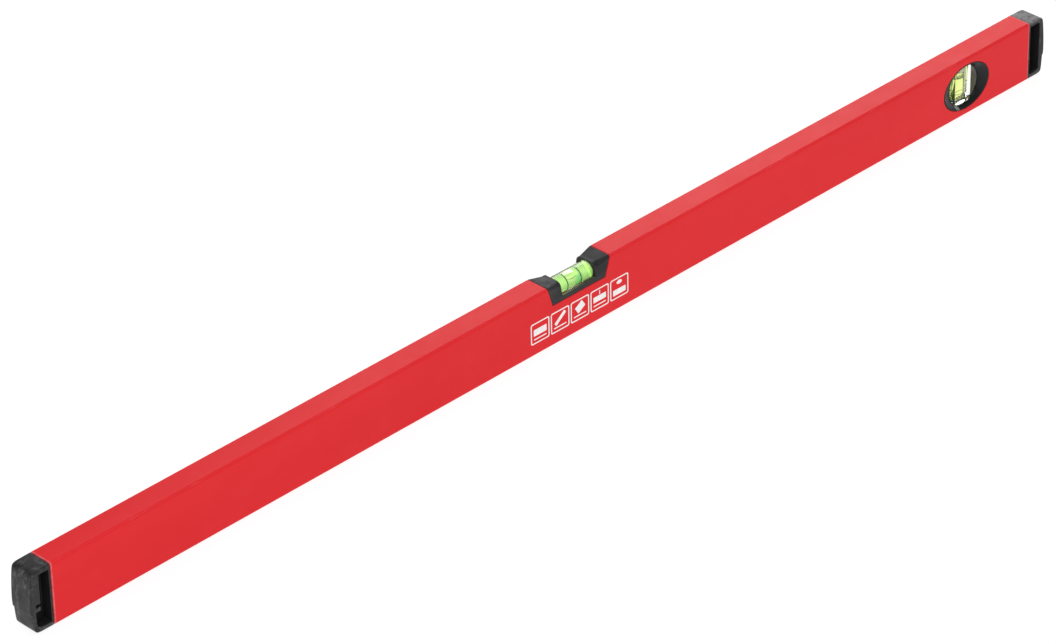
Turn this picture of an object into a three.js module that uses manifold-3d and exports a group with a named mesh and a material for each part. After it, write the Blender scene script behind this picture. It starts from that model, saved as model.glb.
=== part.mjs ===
// Box-section spirit level: a hollow aluminium profile with a level vial in a notch at
// mid-length, a plumb vial in an oval window near one end, and a moulded cap on each end.
// Millimetres. Origin: centre of the bottom measuring face. +X runs along the level towards
// the plumb vial, -Y is the front face, +Z is up.

import * as THREE from 'three';
import { mergeVertices } from 'three/addons/utils/BufferGeometryUtils.js';
import Module from 'manifold-3d';

const wasm = await Module();
wasm.setup();

// ---------------------------------------------------------------- driving dimensions

const PROFILE_LENGTH = 1156;
const PROFILE_HEIGHT = 58;
const PROFILE_WIDTH = 24.4;
const PROFILE_CORNER = 2.5;
const PROFILE_INNER_CORNER = 1.0;
const WEB = 1.8;                 // side wall thickness
const FLANGE = 2.6;              // top and bottom wall thickness
const MID_Z = PROFILE_HEIGHT / 2;

const NOTCH_TOP_HALF = 37.3;     // half width of the notch at the top face
const NOTCH_BOTTOM_HALF = 31.3;  // half width of the notch at its floor
const NOTCH_FLOOR = 39;
const NOTCH_CUT_RISE = 3.2;      // height of the notch cutter above the top face
const NOTCH_CUT_FLARE = 1;       // extra half width of the cutter at that height

const FACE_INSET = 0.1;          // mouldings lie this far inside the profile's faces

const VIAL_BORE = 5.6;           // radius
const VIAL_SEAT = 0.3;           // clearance around the vial in its seat
const LIQUID_RADIUS = 5.1;
const LIQUID_END_GAP = 0.2;
const PLUG_GAP = 0.1;            // around the plug, and from its face to the vial's end
const MARK_INNER = 5.22;
const MARK_OUTER = 5.48;
const MARK_WIDTH = 0.7;
const MARK_OFFSET = 7.85;        // from the middle of the bore to each mark
const BUBBLE_HALF = 7.0;
const BUBBLE_RADIUS = 2.5;
const BUBBLE_RISE = 2.2;         // bubble axis above the vial axis
const BUBBLE_PATH_GAP = 0.2;     // beside and below the bubble

const CENTRE_VIAL_RADIUS = 8.5;
const CENTRE_VIAL_HALF = 23;     // half length
const CENTRE_VIAL_Z = 46.6;
const CENTRE_END_WALL = 2.4;     // closed end of the bore, and the plug at its other end
const CENTRE_BUBBLE_TRAVEL = 12; // each way
const CENTRE_PATH_MARGIN = 0.5;  // path beyond the bubble's tip at full travel

const PLUMB_X = 493;
const PLUMB_Z = MID_Z;
const PLUMB_BLOCK_HALF = 19.5;   // half length; a rectangular block with a round bore
const PLUMB_BLOCK_HALF_X = 10.5;
const PLUMB_BLOCK_HALF_Y = 7.6;
const PLUMB_BLOCK_EDGE = 0.6;
const PLUMB_BOTTOM_WALL = 5.0;   // clear block below the bore
const PLUMB_PLUG = 7.6;          // plug that closes the bore at the top
const PLUMB_BUBBLE_REST = 4.4;   // bubble middle above the middle of the block
const PLUMB_BUBBLE_TRAVEL = 10.8; // downwards from rest
const PLUMB_PATH_MARGIN = 0.4;
const WINDOW_HALF_X = 30.6;      // half length of the oval opening in each web
const WINDOW_HALF_Z = 22.4;      // half height of the oval opening

const CUT_HALF = 20;             // half depth of prisms that span the whole width
const OVERCUT = 1;               // reach of a cutter past the surface it opens

// ---------------------------------------------------------------- helpers

// Each basis takes a section's x and y, and the extrusion direction, to the level's axes.
const ALONG_X = new THREE.Matrix4().makeBasis(
	new THREE.Vector3(0, 1, 0), new THREE.Vector3(0, 0, 1), new THREE.Vector3(1, 0, 0));
const ALONG_Y = new THREE.Matrix4().makeBasis(
	new THREE.Vector3(1, 0, 0), new THREE.Vector3(0, 0, 1), new THREE.Vector3(0, -1, 0));

function solid(geometry) {
	const bare = geometry.clone();
	bare.deleteAttribute('normal');
	bare.deleteAttribute('uv');
	// Booleans need a closed mesh, so vertices along sharp edges are joined.
	const merged = mergeVertices(bare, 1e-5);
	return new wasm.Manifold(new wasm.Mesh({
		numProp: 3,
		vertProperties: Float32Array.from(merged.attributes.position.array),
		triVerts: Uint32Array.from(merged.index.array),
	}));
}

function indexedGeometry(positions, indices) {
	const geometry = new THREE.BufferGeometry();
	geometry.setAttribute('position',
		new THREE.BufferAttribute(Float32Array.from(positions), 3));
	geometry.setIndex(new THREE.BufferAttribute(Uint32Array.from(indices), 1));
	return geometry;
}

function geometryOf(manifold) {
	const mesh = manifold.getMesh();
	const geometry = indexedGeometry(mesh.vertProperties, mesh.triVerts);
	geometry.computeVertexNormals();
	return geometry;
}

function roundedRect(halfWidth, halfHeight, radius, centreY = 0) {
	const shape = new THREE.Shape();
	const corners = [[1, -1], [1, 1], [-1, 1], [-1, -1]];
	corners.forEach(([sideX, sideY], i) => {
		shape.absarc(sideX * (halfWidth - radius), centreY + sideY * (halfHeight - radius),
			radius, (i - 1) * Math.PI / 2, i * Math.PI / 2, false);
	});
	return shape;
}

function polygon(points) {
	return new THREE.Shape(points.map(([x, y]) => new THREE.Vector2(x, y)));
}

// Ellipse about the plumb vial's centre, for a section in the XZ plane.
function plumbOval(halfX, halfZ) {
	const shape = new THREE.Shape();
	shape.absellipse(PLUMB_X, PLUMB_Z, halfX, halfZ, 0, Math.PI * 2, false, 0);
	return shape;
}

function extrude(shape, depth, curveSegments) {
	return new THREE.ExtrudeGeometry(shape, { depth, bevelEnabled: false, curveSegments });
}

// Section in the YZ plane, from x0 to x1.
function prismX(shape, x0, x1, curveSegments) {
	return solid(extrude(shape, x1 - x0, curveSegments)
		.applyMatrix4(ALONG_X)
		.translate(x0, 0, 0));
}

// Section in the XZ plane, from y0 to y1.
function prismY(shape, y0, y1, curveSegments) {
	return solid(extrude(shape, y1 - y0, curveSegments)
		.applyMatrix4(ALONG_Y)
		.translate(0, y1, 0));
}

// Section in the XY plane, from z0 to z1.
function prismZ(shape, z0, z1) {
	return solid(extrude(shape, z1 - z0).translate(0, 0, z0));
}

function box(x0, x1, y0, y1, z0, z1) {
	return solid(new THREE.BoxGeometry(x1 - x0, y1 - y0, z1 - z0)
		.translate((x0 + x1) / 2, (y0 + y1) / 2, (z0 + z1) / 2));
}

function rodGeometry(radius, x0, x1, segments = 40) {
	return new THREE.CylinderGeometry(radius, radius, x1 - x0, segments)
		.rotateZ(-Math.PI / 2)
		.translate((x0 + x1) / 2, 0, 0);
}

function rod(radius, x0, x1, segments) {
	return solid(rodGeometry(radius, x0, x1, segments));
}

// Closed stack of rings about the plumb vial's centre. Each ring is [y, halfX, halfZ], an
// ellipse in the XZ plane.
function ringStack(rings, segments) {
	const positions = [];
	for (const [y, halfX, halfZ] of rings) {
		for (let i = 0; i < segments; i++) {
			const angle = 2 * Math.PI * i / segments;
			positions.push(
				PLUMB_X + halfX * Math.cos(angle), y, PLUMB_Z + halfZ * Math.sin(angle));
		}
	}
	const firstCentre = positions.length / 3;
	positions.push(PLUMB_X, rings[0][0], PLUMB_Z);
	positions.push(PLUMB_X, rings[rings.length - 1][0], PLUMB_Z);

	const indices = [];
	const lastRing = (rings.length - 1) * segments;
	for (let i = 0; i < segments; i++) {
		const j = (i + 1) % segments;
		for (let ring = 0; ring < lastRing; ring += segments) {
			const here = ring + i;
			const beside = ring + j;
			indices.push(here, here + segments, beside);
			indices.push(beside, here + segments, beside + segments);
		}
		indices.push(firstCentre, i, j);
		indices.push(firstCentre + 1, lastRing + j, lastRing + i);
	}
	return solid(indexedGeometry(positions, indices));
}

// ---------------------------------------------------------------- materials

// Every mesh gets its own material, so each finish is a function that makes one.
function finish(settings) {
	return () => new THREE.MeshStandardMaterial(settings);
}

const redPowderCoat = finish({ color: 0xd9383f, roughness: 0.45, metalness: 0.1 });
const blackMoulding = finish({ color: 0x2b2b2d, roughness: 0.6, metalness: 0 });
const blackRubber = finish({ color: 0x3a3a3c, roughness: 0.85, metalness: 0 });
const clearAcrylic = finish({
	color: 0xe9f3df, roughness: 0.06, metalness: 0, transparent: true, opacity: 0.35 });
const greenLiquid = finish({
	color: 0xc4e84a, roughness: 0.05, metalness: 0, transparent: true, opacity: 0.7 });
const air = finish({ color: 0xf4fbe6, roughness: 0.05, metalness: 0 });
const markInk = finish({ color: 0x1e4a1c, roughness: 0.5, metalness: 0 });

// ---------------------------------------------------------------- assembly

const level = new THREE.Group();

// The shape is a geometry or a manifold.
function add(parent, name, shape, material, position = [0, 0, 0]) {
	const geometry = shape.isBufferGeometry ? shape : geometryOf(shape);
	const mesh = new THREE.Mesh(geometry, material());
	mesh.name = name;
	mesh.position.set(...position);
	parent.add(mesh);
}

function addGroup(x = 0, z = 0) {
	const group = new THREE.Group();
	group.position.set(x, 0, z);
	level.add(group);
	return group;
}

// ---------------------------------------------------------------- box profile

function boxProfile() {
	const section = roundedRect(PROFILE_WIDTH / 2, PROFILE_HEIGHT / 2, PROFILE_CORNER, MID_Z);
	section.holes.push(roundedRect(PROFILE_WIDTH / 2 - WEB, PROFILE_HEIGHT / 2 - FLANGE,
		PROFILE_INNER_CORNER, MID_Z));
	const notch = polygon([
		[-NOTCH_BOTTOM_HALF, NOTCH_FLOOR],
		[NOTCH_BOTTOM_HALF, NOTCH_FLOOR],
		[NOTCH_TOP_HALF, PROFILE_HEIGHT],
		[NOTCH_TOP_HALF + NOTCH_CUT_FLARE, PROFILE_HEIGHT + NOTCH_CUT_RISE],
		[-NOTCH_TOP_HALF - NOTCH_CUT_FLARE, PROFILE_HEIGHT + NOTCH_CUT_RISE],
		[-NOTCH_TOP_HALF, PROFILE_HEIGHT],
	]);
	const plumbWindow = plumbOval(WINDOW_HALF_X, WINDOW_HALF_Z);
	return prismX(section, -PROFILE_LENGTH / 2, PROFILE_LENGTH / 2, 4)
		.subtract(prismY(notch, -CUT_HALF, CUT_HALF))
		.subtract(prismY(plumbWindow, -CUT_HALF, CUT_HALF, 36));
}

add(level, 'box_profile', boxProfile(), redPowderCoat);

// ---------------------------------------------------------------- end caps

const CAP_JOINT = PROFILE_LENGTH / 2 + 0.6;
const CAP_TIP = 600;
const CAP_INSET = 0.4;           // cap outline inside the profile outline
const CAP_CORNER = 2.2;
const CAP_FLANGE = 1.6;          // wall between the joint and the pockets
const CAP_WEB = 2.0;             // web between the front and back pockets
const SPIGOT_LENGTH = 22;
const SPIGOT_WALL = 2.2;
const SPIGOT_CLEARANCE = 0.4;
const SPIGOT_CORNER = 1.4;
const SPIGOT_OVERLAP = 1;        // spigot carried on into the cap
const SPIGOT_FLOOR = 0.2;        // cavity stops this far short of the joint

// Side outlines, from the bottom up: [distance back from the tip, z].
// The cap has a pad that stands proud from a third of the height upwards and leans in
// towards the top.
const CAP_OUTLINE = [
	[9.0, CAP_INSET], [5.8, 0.8], [3.9, 1.7], [2.9, 3.4], [2.4, 6.0], [2.0, 10],
	[1.7, 14], [1.4, 17.2], [0.2, 18.8], [0, 23], [0, 28], [0.3, 35],
	[0.8, 42], [1.4, 48], [2.1, 53], [3.0, 55.4], [4.9, 56.8], [8.0, 57.3],
];
const PLAIN_POCKET = [
	[9.5, 4.4], [7.8, 5.4], [7.0, 7.4], [7.0, 52.4], [7.6, 53.6],
];
// A short shelf stands on the end wall.
const SHELVED_POCKET = [
	[9.4, 4.6], [6.2, 6.0], [5.1, 8.6], [4.7, 12.0], [4.7, 20.2], [9.6, 20.2],
	[9.6, 23.8], [5.0, 23.8], [5.0, 26.8], [9.6, 26.8], [9.6, 53.2],
];
// Plan of a rounded upright edge: [distance back from the tip, distance in from the side].
const CAP_EDGE = [[1.7, 0], [0.8, 0.25], [0.3, 0.8], [0.1, 1.7]];

// Closes a side outline with an upright at startX, from the first point's height to topZ.
function capSide(startX, outline, topZ = outline[outline.length - 1][1]) {
	return polygon([
		[startX, outline[0][1]],
		...outline.map(([back, z]) => [CAP_TIP - back, z]),
		[startX, topZ],
	]);
}

// Hollow spigot that grips the inside of the profile.
function capSpigot() {
	const start = CAP_JOINT - SPIGOT_LENGTH;
	const halfWidth = PROFILE_WIDTH / 2 - WEB - SPIGOT_CLEARANCE;
	const halfHeight = PROFILE_HEIGHT / 2 - FLANGE - SPIGOT_CLEARANCE;
	const cavityHalfY = halfWidth - SPIGOT_WALL;
	const cavityHalfZ = halfHeight - SPIGOT_WALL;
	const section = roundedRect(halfWidth, halfHeight, SPIGOT_CORNER, MID_Z);
	return prismX(section, start, CAP_JOINT + SPIGOT_OVERLAP, 3)
		.subtract(box(start - OVERCUT, CAP_JOINT - SPIGOT_FLOOR, -cavityHalfY, cavityHalfY,
			MID_Z - cavityHalfZ, MID_Z + cavityHalfZ));
}

// Cap for the +X end.
function endCap() {
	const top = PROFILE_HEIGHT - CAP_INSET;
	const halfWidth = PROFILE_WIDTH / 2 - CAP_INSET;
	const edge = (side) => CAP_EDGE.map(
		([back, inward]) => [CAP_TIP - back, side * (halfWidth - inward)]);
	const plan = polygon([
		[CAP_JOINT, -halfWidth],
		...edge(-1),
		[CAP_TIP, 0],
		...edge(1).reverse(),
		[CAP_JOINT, halfWidth],
	]);
	const section = roundedRect(halfWidth, (top - CAP_INSET) / 2, CAP_CORNER, MID_Z);
	const pocketX = CAP_JOINT + CAP_FLANGE;

	return prismY(capSide(CAP_JOINT, CAP_OUTLINE, top), -CUT_HALF, CUT_HALF)
		.intersect(prismZ(plan, -OVERCUT, PROFILE_HEIGHT + OVERCUT))
		.intersect(prismX(section, CAP_JOINT - OVERCUT, CAP_TIP + OVERCUT, 4))
		.subtract(prismY(capSide(pocketX, PLAIN_POCKET), -CUT_HALF, -CAP_WEB / 2))
		.subtract(prismY(capSide(pocketX, SHELVED_POCKET), CAP_WEB / 2, CUT_HALF))
		.add(capSpigot());
}

const rightEnd = addGroup();
add(rightEnd, 'right_end_cap', endCap(), blackRubber);

// The left cap is the same moulding turned half a turn about the vertical.
const leftEnd = addGroup();
leftEnd.rotation.z = Math.PI;
add(leftEnd, 'left_end_cap', endCap(), blackRubber);

// ---------------------------------------------------------------- vials

// A vial along local X: clear body with a blind bore, closed by a plug at the +X end.
// The liquid fills the bore except for a slot along the bubble's path, open towards local +Z.
// path is [from, to] along local X; marks gives each mark's name and its local X.
function vial({ group, prefix, body, half, endWall, plug, bubbleX, path, marks }) {
	const boreEnd = -half + endWall;
	const plugStart = half - plug;
	add(group, `${prefix}_vial_body`,
		body.subtract(rod(VIAL_BORE, boreEnd, half + OVERCUT)), clearAcrylic);

	add(group, `${prefix}_vial_plug`,
		rodGeometry(VIAL_BORE - PLUG_GAP, plugStart, half - PLUG_GAP), blackMoulding);

	const pathHalf = BUBBLE_RADIUS + BUBBLE_PATH_GAP;
	const liquid = rod(LIQUID_RADIUS, boreEnd + LIQUID_END_GAP, plugStart - LIQUID_END_GAP)
		.subtract(box(...path, -pathHalf, pathHalf,
			BUBBLE_RISE - pathHalf, LIQUID_RADIUS + OVERCUT));
	add(group, `${prefix}_vial_liquid`, liquid, greenLiquid);

	const bubble = new THREE.SphereGeometry(1, 24, 14)
		.scale(BUBBLE_HALF, BUBBLE_RADIUS, BUBBLE_RADIUS);
	add(group, `${prefix}_bubble`, bubble, air, [bubbleX, 0, BUBBLE_RISE]);

	for (const [name, x] of Object.entries(marks)) {
		const ring = rod(MARK_OUTER, -MARK_WIDTH / 2, MARK_WIDTH / 2)
			.subtract(rod(MARK_INNER, -MARK_WIDTH, MARK_WIDTH));
		add(group, name, ring, markInk, [x, 0, 0]);
	}
}

const centrePathHalf = CENTRE_BUBBLE_TRAVEL + BUBBLE_HALF + CENTRE_PATH_MARGIN;
vial({
	group: addGroup(0, CENTRE_VIAL_Z),
	prefix: 'centre',
	body: rod(CENTRE_VIAL_RADIUS, -CENTRE_VIAL_HALF, CENTRE_VIAL_HALF, 48),
	half: CENTRE_VIAL_HALF,
	endWall: CENTRE_END_WALL,
	plug: CENTRE_END_WALL,
	bubbleX: 0,
	path: [-centrePathHalf, centrePathHalf],
	marks: { centre_mark_left: -MARK_OFFSET, centre_mark_right: MARK_OFFSET },
});

// Turned so that local +X points up: the plug is at the top, and the bubble's path faces -X.
// Local Z is the block's width along the level.
const plumbVial = addGroup(PLUMB_X, PLUMB_Z);
plumbVial.rotation.y = -Math.PI / 2;
const plumbSection = roundedRect(PLUMB_BLOCK_HALF_Y, PLUMB_BLOCK_HALF_X, PLUMB_BLOCK_EDGE);
const plumbBoreMiddle = (PLUMB_BOTTOM_WALL - PLUMB_PLUG) / 2;
const plumbPathEnd = BUBBLE_HALF + PLUMB_PATH_MARGIN;
vial({
	group: plumbVial,
	prefix: 'plumb',
	body: prismX(plumbSection, -PLUMB_BLOCK_HALF, PLUMB_BLOCK_HALF, 2),
	half: PLUMB_BLOCK_HALF,
	endWall: PLUMB_BOTTOM_WALL,
	plug: PLUMB_PLUG,
	bubbleX: PLUMB_BUBBLE_REST,
	path: [
		PLUMB_BUBBLE_REST - PLUMB_BUBBLE_TRAVEL - plumbPathEnd,
		PLUMB_BUBBLE_REST + plumbPathEnd,
	],
	marks: {
		plumb_mark_upper: plumbBoreMiddle + MARK_OFFSET,
		plumb_mark_lower: plumbBoreMiddle - MARK_OFFSET,
	},
});

// ---------------------------------------------------------------- centre vial holder

const HOLDER_CLEARANCE = 0.3;
const HOLDER_BOTTOM = NOTCH_FLOOR + HOLDER_CLEARANCE;
const HOLDER_TOP = PROFILE_HEIGHT - FACE_INSET;
const HOLDER_HALF_WIDTH = PROFILE_WIDTH / 2 - FACE_INSET;
const OPENING_HALF = 19.8;       // half length of the vial left visible
const OPENING_FLOOR = 41;
const OPENING_END_GAP = 0.01;    // keeps the opening's cutter off the hoods
const RIM_TOP = 44.5;            // top of the low wall in front of and behind the vial
const RIM_THICKNESS = 1.6;
const RIM_OVERLAP = 0.5;         // rim carried on into each hood
const HOOD_TOP = 56.2;           // top of the hood over each end of the vial, at its lip
const HOOD_LIP = 3.2;            // length of the level part of the hood next to the opening
const HOOD_OVERLAP = 0.2;        // level part carried on into the sloping part
const HOOD_SHOULDER = 10.9;      // half width of the hood at its shoulders, at the lip
const HOOD_CORNER = 5.0;         // shoulder radius at the lip
const HOOD_ROOT_CORNER = 2.0;    // shoulder radius where the hood meets the profile
const TONGUE_HALF_LENGTH = 30.4;
const TONGUE_HALF_WIDTH = PROFILE_WIDTH / 2 - WEB - HOLDER_CLEARANCE;
const TONGUE_BOTTOM = 36.4;
const TONGUE_TOP = 40;

// X of the holder's slanting end at height z, parallel to the notch's side.
function holderEndX(z) {
	const slope = (NOTCH_TOP_HALF - NOTCH_BOTTOM_HALF) / (PROFILE_HEIGHT - NOTCH_FLOOR);
	return NOTCH_BOTTOM_HALF - HOLDER_CLEARANCE + slope * (z - NOTCH_FLOOR);
}

// Arched section as [y, z] points: upright sides, a flat top and round shoulders.
function arch(halfWidth, top, corner, steps) {
	const points = [[-halfWidth, HOLDER_BOTTOM], [halfWidth, HOLDER_BOTTOM]];
	for (const side of [1, -1]) {
		for (let i = 0; i <= steps; i++) {
			const angle = Math.PI / 2 * i / steps;
			points.push([
				side * (halfWidth - corner + corner * Math.cos(angle)),
				top - corner + corner * Math.sin(angle),
			]);
		}
	}
	return points;
}

// Hood on one side: from the notch's slanting side to the lip over the vial's end.
function hood(side) {
	const root = arch(HOLDER_HALF_WIDTH, HOLDER_TOP, HOOD_ROOT_CORNER, 5)
		.map(([y, z]) => [side * holderEndX(z), y, z]);
	const lipSection = [
		...arch(HOOD_SHOULDER, HOOD_TOP, HOOD_CORNER, 8),
		[-HOLDER_HALF_WIDTH, HOLDER_BOTTOM], [HOLDER_HALF_WIDTH, HOLDER_BOTTOM],
		[-HOLDER_HALF_WIDTH, RIM_TOP], [HOLDER_HALF_WIDTH, RIM_TOP],
	];
	const lip = (x) => lipSection.map(([y, z]) => [side * x, y, z]);
	const lipEnd = OPENING_HALF + HOOD_LIP;
	return wasm.Manifold.hull([...lip(OPENING_HALF), ...lip(lipEnd + HOOD_OVERLAP)])
		.add(wasm.Manifold.hull([...root, ...lip(lipEnd)]));
}

function centreHolder() {
	const rimHalf = OPENING_HALF + RIM_OVERLAP;
	const rimBlock = box(-rimHalf, rimHalf, -HOLDER_HALF_WIDTH, HOLDER_HALF_WIDTH,
		HOLDER_BOTTOM, RIM_TOP);
	// Reaches down between the webs and carries the vial's seat.
	const tongue = box(-TONGUE_HALF_LENGTH, TONGUE_HALF_LENGTH,
		-TONGUE_HALF_WIDTH, TONGUE_HALF_WIDTH, TONGUE_BOTTOM, TONGUE_TOP);

	// Round above the vial's axis, open below it, so that the vial goes in from underneath.
	const seatHalf = CENTRE_VIAL_HALF + VIAL_SEAT;
	const seatRadius = CENTRE_VIAL_RADIUS + VIAL_SEAT;
	const seatRound = rod(seatRadius, -seatHalf, seatHalf, 48).translate([0, 0, CENTRE_VIAL_Z]);
	const seatSlot = box(-seatHalf, seatHalf, -seatRadius, seatRadius,
		TONGUE_BOTTOM - OVERCUT, CENTRE_VIAL_Z);

	const openingHalfX = OPENING_HALF - OPENING_END_GAP;
	const openingHalfY = HOLDER_HALF_WIDTH - RIM_THICKNESS;
	const opening = box(-openingHalfX, openingHalfX, -openingHalfY, openingHalfY,
		OPENING_FLOOR, HOLDER_TOP + OVERCUT);

	return rimBlock
		.add(hood(-1))
		.add(hood(1))
		.add(tongue)
		.subtract(seatRound)
		.subtract(seatSlot)
		.subtract(opening);
}

add(level, 'centre_vial_holder', centreHolder(), blackMoulding);

// ---------------------------------------------------------------- plumb vial bezels

const BEZEL_HALF_X = WINDOW_HALF_X - 0.3;  // a small gap inside the oval opening
const BEZEL_HALF_Z = WINDOW_HALF_Z - 0.3;
const BEZEL_FACE = -PROFILE_WIDTH / 2 + FACE_INSET;
const BEZEL_MATE = -0.15;        // Y of the mating face
const BEZEL_LIP = 0.9;           // flat border around the dish
const BEZEL_WALL = 1.8;          // outer wall, and wall around the round window
const BEZEL_FLOOR = 2.0;         // from the bottom of the dish to the hollows
const DISH_DEPTH = 4.3;
const DISH_STEPS = 4;
const DISH_POWER = 1.6;          // above 1, the dish closes in fastest near the face
const PORTHOLE = 19.0;           // radius of the round window at the bottom of the dish

// Dished recess narrowing from the oval lip to the round window, and on through the back.
function dishCutter() {
	const lipX = BEZEL_HALF_X - BEZEL_LIP;
	const lipZ = BEZEL_HALF_Z - BEZEL_LIP;
	const rings = [[BEZEL_FACE - OVERCUT, lipX, lipZ]];
	for (let i = 0; i <= DISH_STEPS; i++) {
		const depth = i / DISH_STEPS;
		const closing = 1 - Math.pow(1 - depth, DISH_POWER);
		rings.push([
			BEZEL_FACE + DISH_DEPTH * depth,
			lipX + (PORTHOLE - lipX) * closing,
			lipZ + (PORTHOLE - lipZ) * closing,
		]);
	}
	rings.push([BEZEL_MATE + OVERCUT, PORTHOLE, PORTHOLE]);
	return ringStack(rings, 56);
}

// Front half of the plumb surround: an oval moulding dished down to a round window, with a
// half seat for the vial block at its mating face and two hollow crescents beside the window.
function bezel() {
	const seatHalfX = PLUMB_BLOCK_HALF_X + VIAL_SEAT;
	const seatHalfZ = PLUMB_BLOCK_HALF + VIAL_SEAT;
	const seat = box(PLUMB_X - seatHalfX, PLUMB_X + seatHalfX,
		-PLUMB_BLOCK_HALF_Y - VIAL_SEAT, BEZEL_MATE + OVERCUT,
		PLUMB_Z - seatHalfZ, PLUMB_Z + seatHalfZ);

	const dishFloor = BEZEL_FACE + DISH_DEPTH;
	const hollowOval = plumbOval(BEZEL_HALF_X - BEZEL_WALL, BEZEL_HALF_Z - BEZEL_WALL);
	const windowWall = plumbOval(PORTHOLE + BEZEL_WALL, PORTHOLE + BEZEL_WALL);
	const hollows = prismY(hollowOval, dishFloor + BEZEL_FLOOR, BEZEL_MATE + OVERCUT, 28)
		.subtract(prismY(windowWall, dishFloor, BEZEL_MATE + 2 * OVERCUT, 28));

	return prismY(plumbOval(BEZEL_HALF_X, BEZEL_HALF_Z), BEZEL_FACE, BEZEL_MATE, 36)
		.subtract(dishCutter())
		.subtract(seat)
		.subtract(hollows);
}

add(level, 'plumb_front_bezel', bezel(), blackMoulding);

// The rear half is the same moulding turned about the vial's axis.
const rear = addGroup(2 * PLUMB_X);
rear.rotation.z = Math.PI;
add(rear, 'plumb_rear_bezel', bezel(), blackMoulding);

export default level;
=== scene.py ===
import math
from collections import namedtuple

import bmesh
import bpy
import numpy as np
from mathutils import Matrix, Vector


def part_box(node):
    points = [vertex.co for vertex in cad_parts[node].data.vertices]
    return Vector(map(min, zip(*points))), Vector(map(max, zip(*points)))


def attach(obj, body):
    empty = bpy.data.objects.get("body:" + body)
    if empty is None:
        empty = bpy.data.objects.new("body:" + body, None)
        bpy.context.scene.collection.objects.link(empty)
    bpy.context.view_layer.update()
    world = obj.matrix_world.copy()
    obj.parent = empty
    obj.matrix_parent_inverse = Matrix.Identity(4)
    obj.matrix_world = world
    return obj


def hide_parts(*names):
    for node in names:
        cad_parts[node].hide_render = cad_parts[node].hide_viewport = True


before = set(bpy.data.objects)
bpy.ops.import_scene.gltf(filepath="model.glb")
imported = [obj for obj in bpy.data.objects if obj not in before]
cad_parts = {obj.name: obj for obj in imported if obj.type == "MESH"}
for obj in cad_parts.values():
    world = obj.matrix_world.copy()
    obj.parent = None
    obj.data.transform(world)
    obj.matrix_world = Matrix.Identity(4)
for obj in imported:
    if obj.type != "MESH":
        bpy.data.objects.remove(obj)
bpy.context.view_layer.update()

MM = 0.001
BODY = "level"

# ---------------------------------------------------------------- driving sizes


def box_mm(node):
    lo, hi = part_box(node)
    return np.array(lo) * 1000.0, np.array(hi) * 1000.0


def centre_mm(node):
    lo, hi = box_mm(node)
    return (lo + hi) / 2


def half_mm(node):
    lo, hi = box_mm(node)
    return (hi - lo) / 2


HALF_LENGTH, HALF_WIDTH, HEIGHT = (float(c) for c in box_mm("box_profile")[1])
TIP = float(box_mm("right_end_cap")[1][0])          # outer end of the right cap
PLUMB_X = float(centre_mm("plumb_front_bezel")[0])
PLUMB_Z = float(centre_mm("plumb_front_bezel")[2])
BEZEL_HALF_X = float(half_mm("plumb_front_bezel")[0])
BEZEL_HALF_Z = float(half_mm("plumb_front_bezel")[2])
BEZEL_FACE = float(-box_mm("plumb_front_bezel")[0][1])   # its face's distance from Y = 0
LEVEL_HALF = float(box_mm("centre_vial_body")[1][0])     # half length of the level vial
LEVEL_Z = float(centre_mm("centre_vial_body")[2])
LEVEL_RADIUS = float(half_mm("centre_vial_body")[2])
BLOCK_HALF_X, BLOCK_HALF_Z = (float(half_mm("plumb_vial_body")[i]) for i in (0, 2))
BLOCK_HALF_Y = float(half_mm("plumb_vial_body")[1])
RIGHT_MARK_X = float(centre_mm("centre_mark_right")[0])

WALL_SIDE, WALL_TOP = 1.8, 2.6                      # profile wall thicknesses
CAP_START = HALF_LENGTH + 0.6                       # inner end of the right cap's outside
NOTCH_HALF_TOP, NOTCH_HALF_FLOOR, NOTCH_FLOOR = 37.3, 31.3, 39.0
BORE_RADIUS = 5.6
LIQUID_RADIUS = 5.2

# ---------------------------------------------------------------- mesh helpers


def shade(mesh, smooth=True, sharp=None):
    """Smooth or flat faces, with edges over the sharp angle (degrees) kept sharp."""
    mesh.polygons.foreach_set("use_smooth", [smooth] * len(mesh.polygons))
    if sharp is not None:
        mesh.set_sharp_from_angle(angle=math.radians(sharp))


def new_object(name, verts, faces, materials, smooth=True, sharp=None):
    mesh = bpy.data.meshes.new(name)
    points = np.asarray(verts, float) * MM
    mesh.from_pydata([tuple(p) for p in points], [], [tuple(int(i) for i in f) for f in faces])
    mesh.validate()
    mesh.update()
    for material in materials:
        mesh.materials.append(material)
    obj = bpy.data.objects.new(name, mesh)
    bpy.context.scene.collection.objects.link(obj)
    shade(mesh, smooth, sharp)
    return obj


def piece(obj, node, body=BODY):
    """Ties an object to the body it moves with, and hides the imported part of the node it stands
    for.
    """
    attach(obj, body)
    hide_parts(node)


def apply_modifiers(obj):
    depsgraph = bpy.context.evaluated_depsgraph_get()
    depsgraph.update()
    made = bpy.data.meshes.new_from_object(obj.evaluated_get(depsgraph))
    made.name = obj.name
    obj.modifiers.clear()
    old = obj.data
    obj.data = made
    bpy.data.meshes.remove(old)


def carve(obj, tool, transfer=False):
    """Cuts the tool out of obj; with transfer, the cut faces take the tool's material."""
    mod = obj.modifiers.new("b", "BOOLEAN")
    mod.operation = "DIFFERENCE"
    mod.solver = "EXACT"
    mod.object = tool
    if transfer:
        mod.material_mode = "TRANSFER"
    apply_modifiers(obj)
    bpy.data.objects.remove(tool, do_unlink=True)


def weld(obj, distance):
    bm = bmesh.new()
    bm.from_mesh(obj.data)
    bmesh.ops.remove_doubles(bm, verts=bm.verts, dist=distance * MM)
    bmesh.ops.dissolve_degenerate(bm, dist=distance * MM, edges=bm.edges)
    bmesh.ops.recalc_face_normals(bm, faces=bm.faces)
    bm.to_mesh(obj.data)
    bm.free()


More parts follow.
